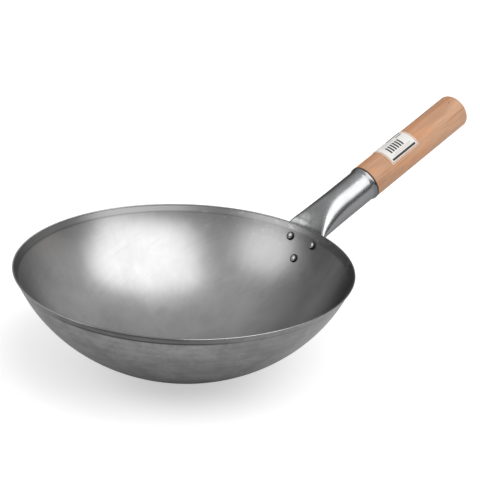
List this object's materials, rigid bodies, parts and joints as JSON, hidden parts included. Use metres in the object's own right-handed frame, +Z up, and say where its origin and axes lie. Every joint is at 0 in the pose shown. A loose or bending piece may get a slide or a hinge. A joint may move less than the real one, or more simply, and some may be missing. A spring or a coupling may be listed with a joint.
{
  "type": "round-bottom wok",
  "caption": "Round-bottom steel wok with a flared rim, a riveted socket pressed flat onto the wall, and a long turned wooden grip, for stir-frying over a ring or flame.",
  "frame": {"origin": "lowest point of the bowl, on the bowl's axis, at the centre of the small flat on its base", "axes": "+Z up along the bowl's axis with the rim level, +X from the bowl's axis towards the handle"},
  "size_m": [0.5972, 0.3558, 0.2217],
  "materials": {
    "bowl_steel": "bare carbon steel, satin, with faint spinning and rub marks",
    "socket_steel": "smooth rolled steel with a soft shine",
    "rivet_steel": "smooth domed heads",
    "nail_steel": "plain wire nail",
    "grip_wood": "sanded pale wood with fine grain along its length, not varnished",
    "label_paper": "matt white paper with plain printed bands and bars"
  },
  "bodies": {
    "root": {"wok_bowl": "bowl_steel", "handle_socket": "socket_steel", "rivet_left": "rivet_steel", "rivet_right": "rivet_steel", "rivet_lower": "rivet_steel", "wood_grip": "grip_wood", "grip_nail": "nail_steel", "paper_label": "label_paper"}
  },
  "joints": []
}
